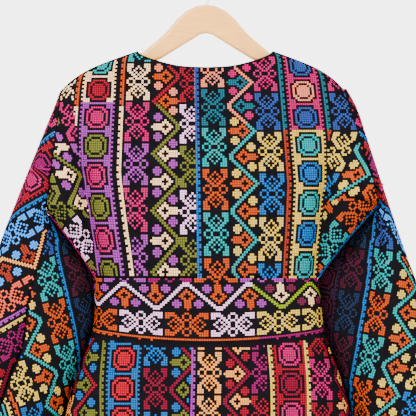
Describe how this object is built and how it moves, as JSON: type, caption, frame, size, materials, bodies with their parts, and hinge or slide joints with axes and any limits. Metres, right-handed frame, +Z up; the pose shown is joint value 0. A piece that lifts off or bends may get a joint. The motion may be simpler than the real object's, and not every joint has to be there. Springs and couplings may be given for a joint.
{
  "type": "embroidered kaftan on a wooden hanger",
  "caption": "Long open-necked kaftan with bell sleeves, a set-in waistband and a flared skirt, embroidered in coloured cross stitch and hung by its shoulders on a wooden hanger.",
  "frame": {"origin": "under the crown of the hanger's hook, where a rail bears", "axes": "+Z up, the back of the garment faces -Y, the wearer's left is at -X"},
  "size_m": [0.9478, 0.2869, 1.5239],
  "materials": {
    "embroidered_bodice": "black cotton almost covered in cross stitch",
    "embroidered_sleeves": "black cotton almost covered in cross stitch",
    "embroidered_waistband": "black cotton almost covered in cross stitch",
    "embroidered_skirt": "black cotton almost covered in cross stitch",
    "hanger_wood": "pale wood, satin varnish",
    "hook_steel": "zinc-plated wire"
  },
  "bodies": {
    "root": {"back_left": "embroidered_bodice", "back_right": "embroidered_bodice", "front": "embroidered_bodice", "sleeve_upper_left": "embroidered_sleeves", "sleeve_upper_right": "embroidered_sleeves", "sleeve_under_left": "embroidered_sleeves", "sleeve_under_right": "embroidered_sleeves", "waistband_back": "embroidered_waistband", "waistband_front": "embroidered_waistband", "skirt_back": "embroidered_skirt", "skirt_front": "embroidered_skirt", "hanger": "hanger_wood", "hook": "hook_steel"}
  },
  "joints": []
}
